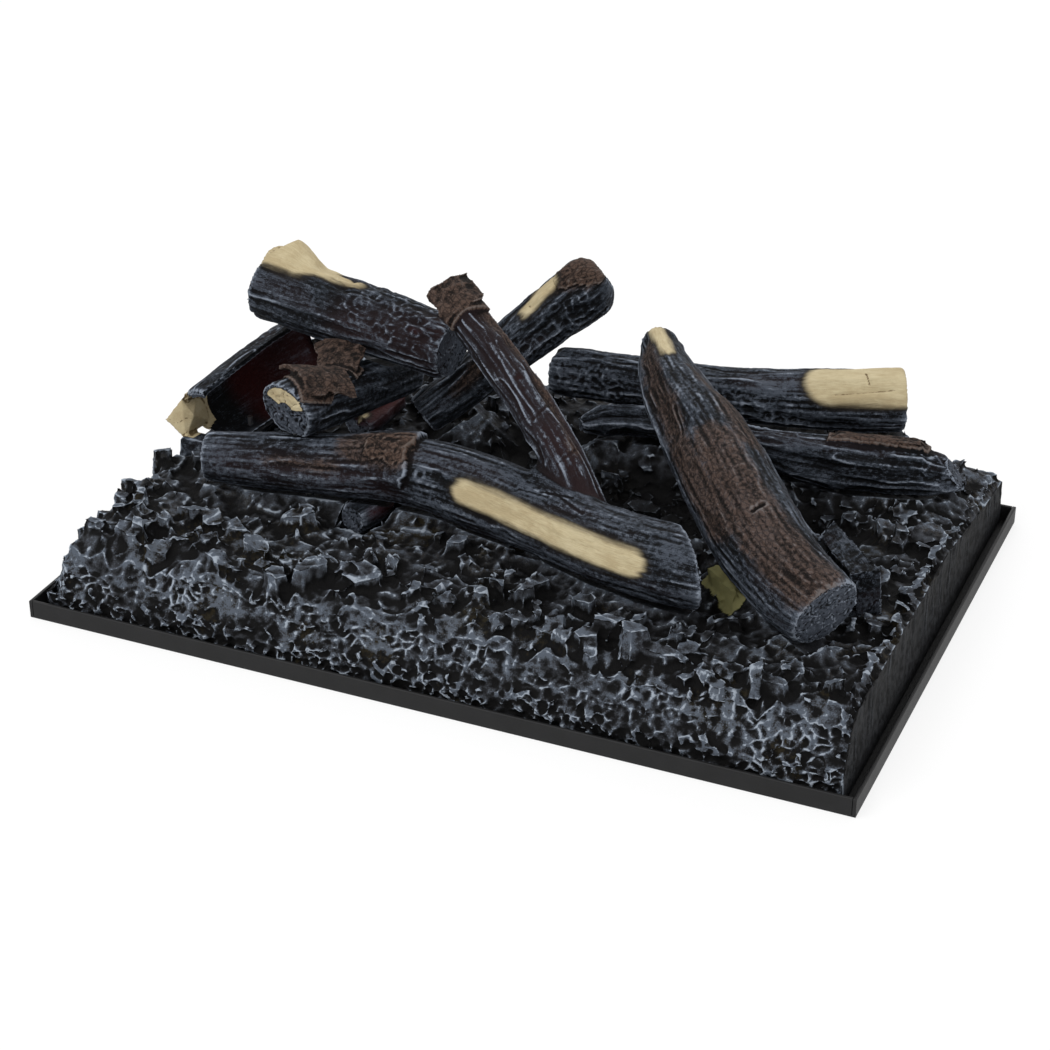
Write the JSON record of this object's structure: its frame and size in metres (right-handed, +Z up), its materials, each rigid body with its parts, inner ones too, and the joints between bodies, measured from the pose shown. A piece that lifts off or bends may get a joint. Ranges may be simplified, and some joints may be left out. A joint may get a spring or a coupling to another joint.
{
  "type": "electric fireplace log set",
  "caption": "Free-standing electric log set: charred moulded logs stacked on a hollow ember bed that lifts off a shallow black tray with lights, driver, gland and switch.",
  "frame": {"origin": "centre of the tray's underside", "axes": "+X to the right along the long front edge, +Y to the back, +Z up; the front edge faces -Y"},
  "size_m": [0.6, 0.409, 0.2048],
  "materials": {
    "tray_paint": "matt charcoal powder coat",
    "ember_resin": "dry-brushed black over amber translucent resin",
    "log_resin": "hand-painted charred wood",
    "gland_rubber": "matt",
    "switch_plastic": "satin black",
    "terminal_plastic": "matt",
    "blade_brass": "plain",
    "circuit_board": "white solder mask",
    "emitter_lens": "amber lens",
    "wire_sheath": "smooth",
    "spacer_nylon": "natural",
    "driver_case": "fine grained",
    "transformer_case": "taped",
    "capacitor_sleeve": "smooth",
    "plated_steel": "zinc plated"
  },
  "bodies": {
    "base": {"base_tray": "tray_paint", "bed_locating_posts": "plated_steel", "driver_board": "circuit_board", "driver_capacitors": "capacitor_sleeve", "driver_connectors": "spacer_nylon", "driver_cover": "driver_case", "driver_supports": "spacer_nylon", "driver_transformer": "transformer_case", "harness_clips": "spacer_nylon", "led_board_front": "circuit_board", "led_board_middle": "circuit_board", "led_board_rear": "circuit_board", "led_emitters_front": "emitter_lens", "led_emitters_middle": "emitter_lens", "led_emitters_rear": "emitter_lens", "led_harness_front": "wire_sheath", "led_harness_middle": "wire_sheath", "led_harness_rear": "wire_sheath", "led_supports_front": "spacer_nylon", "led_supports_middle": "spacer_nylon", "led_supports_rear": "spacer_nylon", "rear_panel": "tray_paint", "rear_panel_screws": "plated_steel", "supply_gland": "gland_rubber", "supply_wires": "wire_sheath", "switch_body": "switch_plastic", "switch_harness": "wire_sheath", "switch_terminals": "blade_brass", "terminal_block": "terminal_plastic", "terminal_screws": "plated_steel"},
    "rocker": {"switch_rocker": "switch_plastic"},
    "bed": {"ember_bed": "ember_resin", "back_log": "log_resin", "right_log": "log_resin", "hollow_bark_log": "log_resin", "under_log_right": "log_resin", "under_log_left": "log_resin", "glow_log": "log_resin", "log_fixing_screws": "plated_steel", "log_locating_pins": "plated_steel"},
    "front_logs": {"front_log": "log_resin", "left_short_log": "log_resin", "short_log_dowel": "plated_steel"},
    "top_log": {"top_left_log": "log_resin"},
    "lean_log": {"leaning_log": "log_resin"},
    "right_front_log": {"front_right_log": "log_resin"}
  },
  "joints": [
    {"name": "bed_lift", "type": "slide", "parent": "base", "child": "bed", "axis": [0, 0, 1], "range_m": [0, 0.06]},
    {"name": "front_logs_lift", "type": "slide", "parent": "bed", "child": "front_logs", "axis": [0, 0, 1], "range_m": [0, 0.1]},
    {"name": "top_log_slide", "type": "slide", "parent": "front_logs", "child": "top_log", "axis": [-0.9855, 0.1504, 0.0787], "range_m": [0, 0.18]},
    {"name": "lean_log_slide", "type": "slide", "parent": "bed", "child": "lean_log", "axis": [0.6246, 0.5448, 0.5595], "range_m": [0, 0.17]},
    {"name": "right_front_log_lift", "type": "slide", "parent": "bed", "child": "right_front_log", "axis": [0, 0, 1], "range_m": [0, 0.1]},
    {"name": "switch_rock", "type": "hinge", "parent": "base", "child": "rocker", "pos_m": [-0.1308, 0.1982, 0.0222], "axis": [0, 0, 1], "range_deg": [0, 16]}
  ]
}
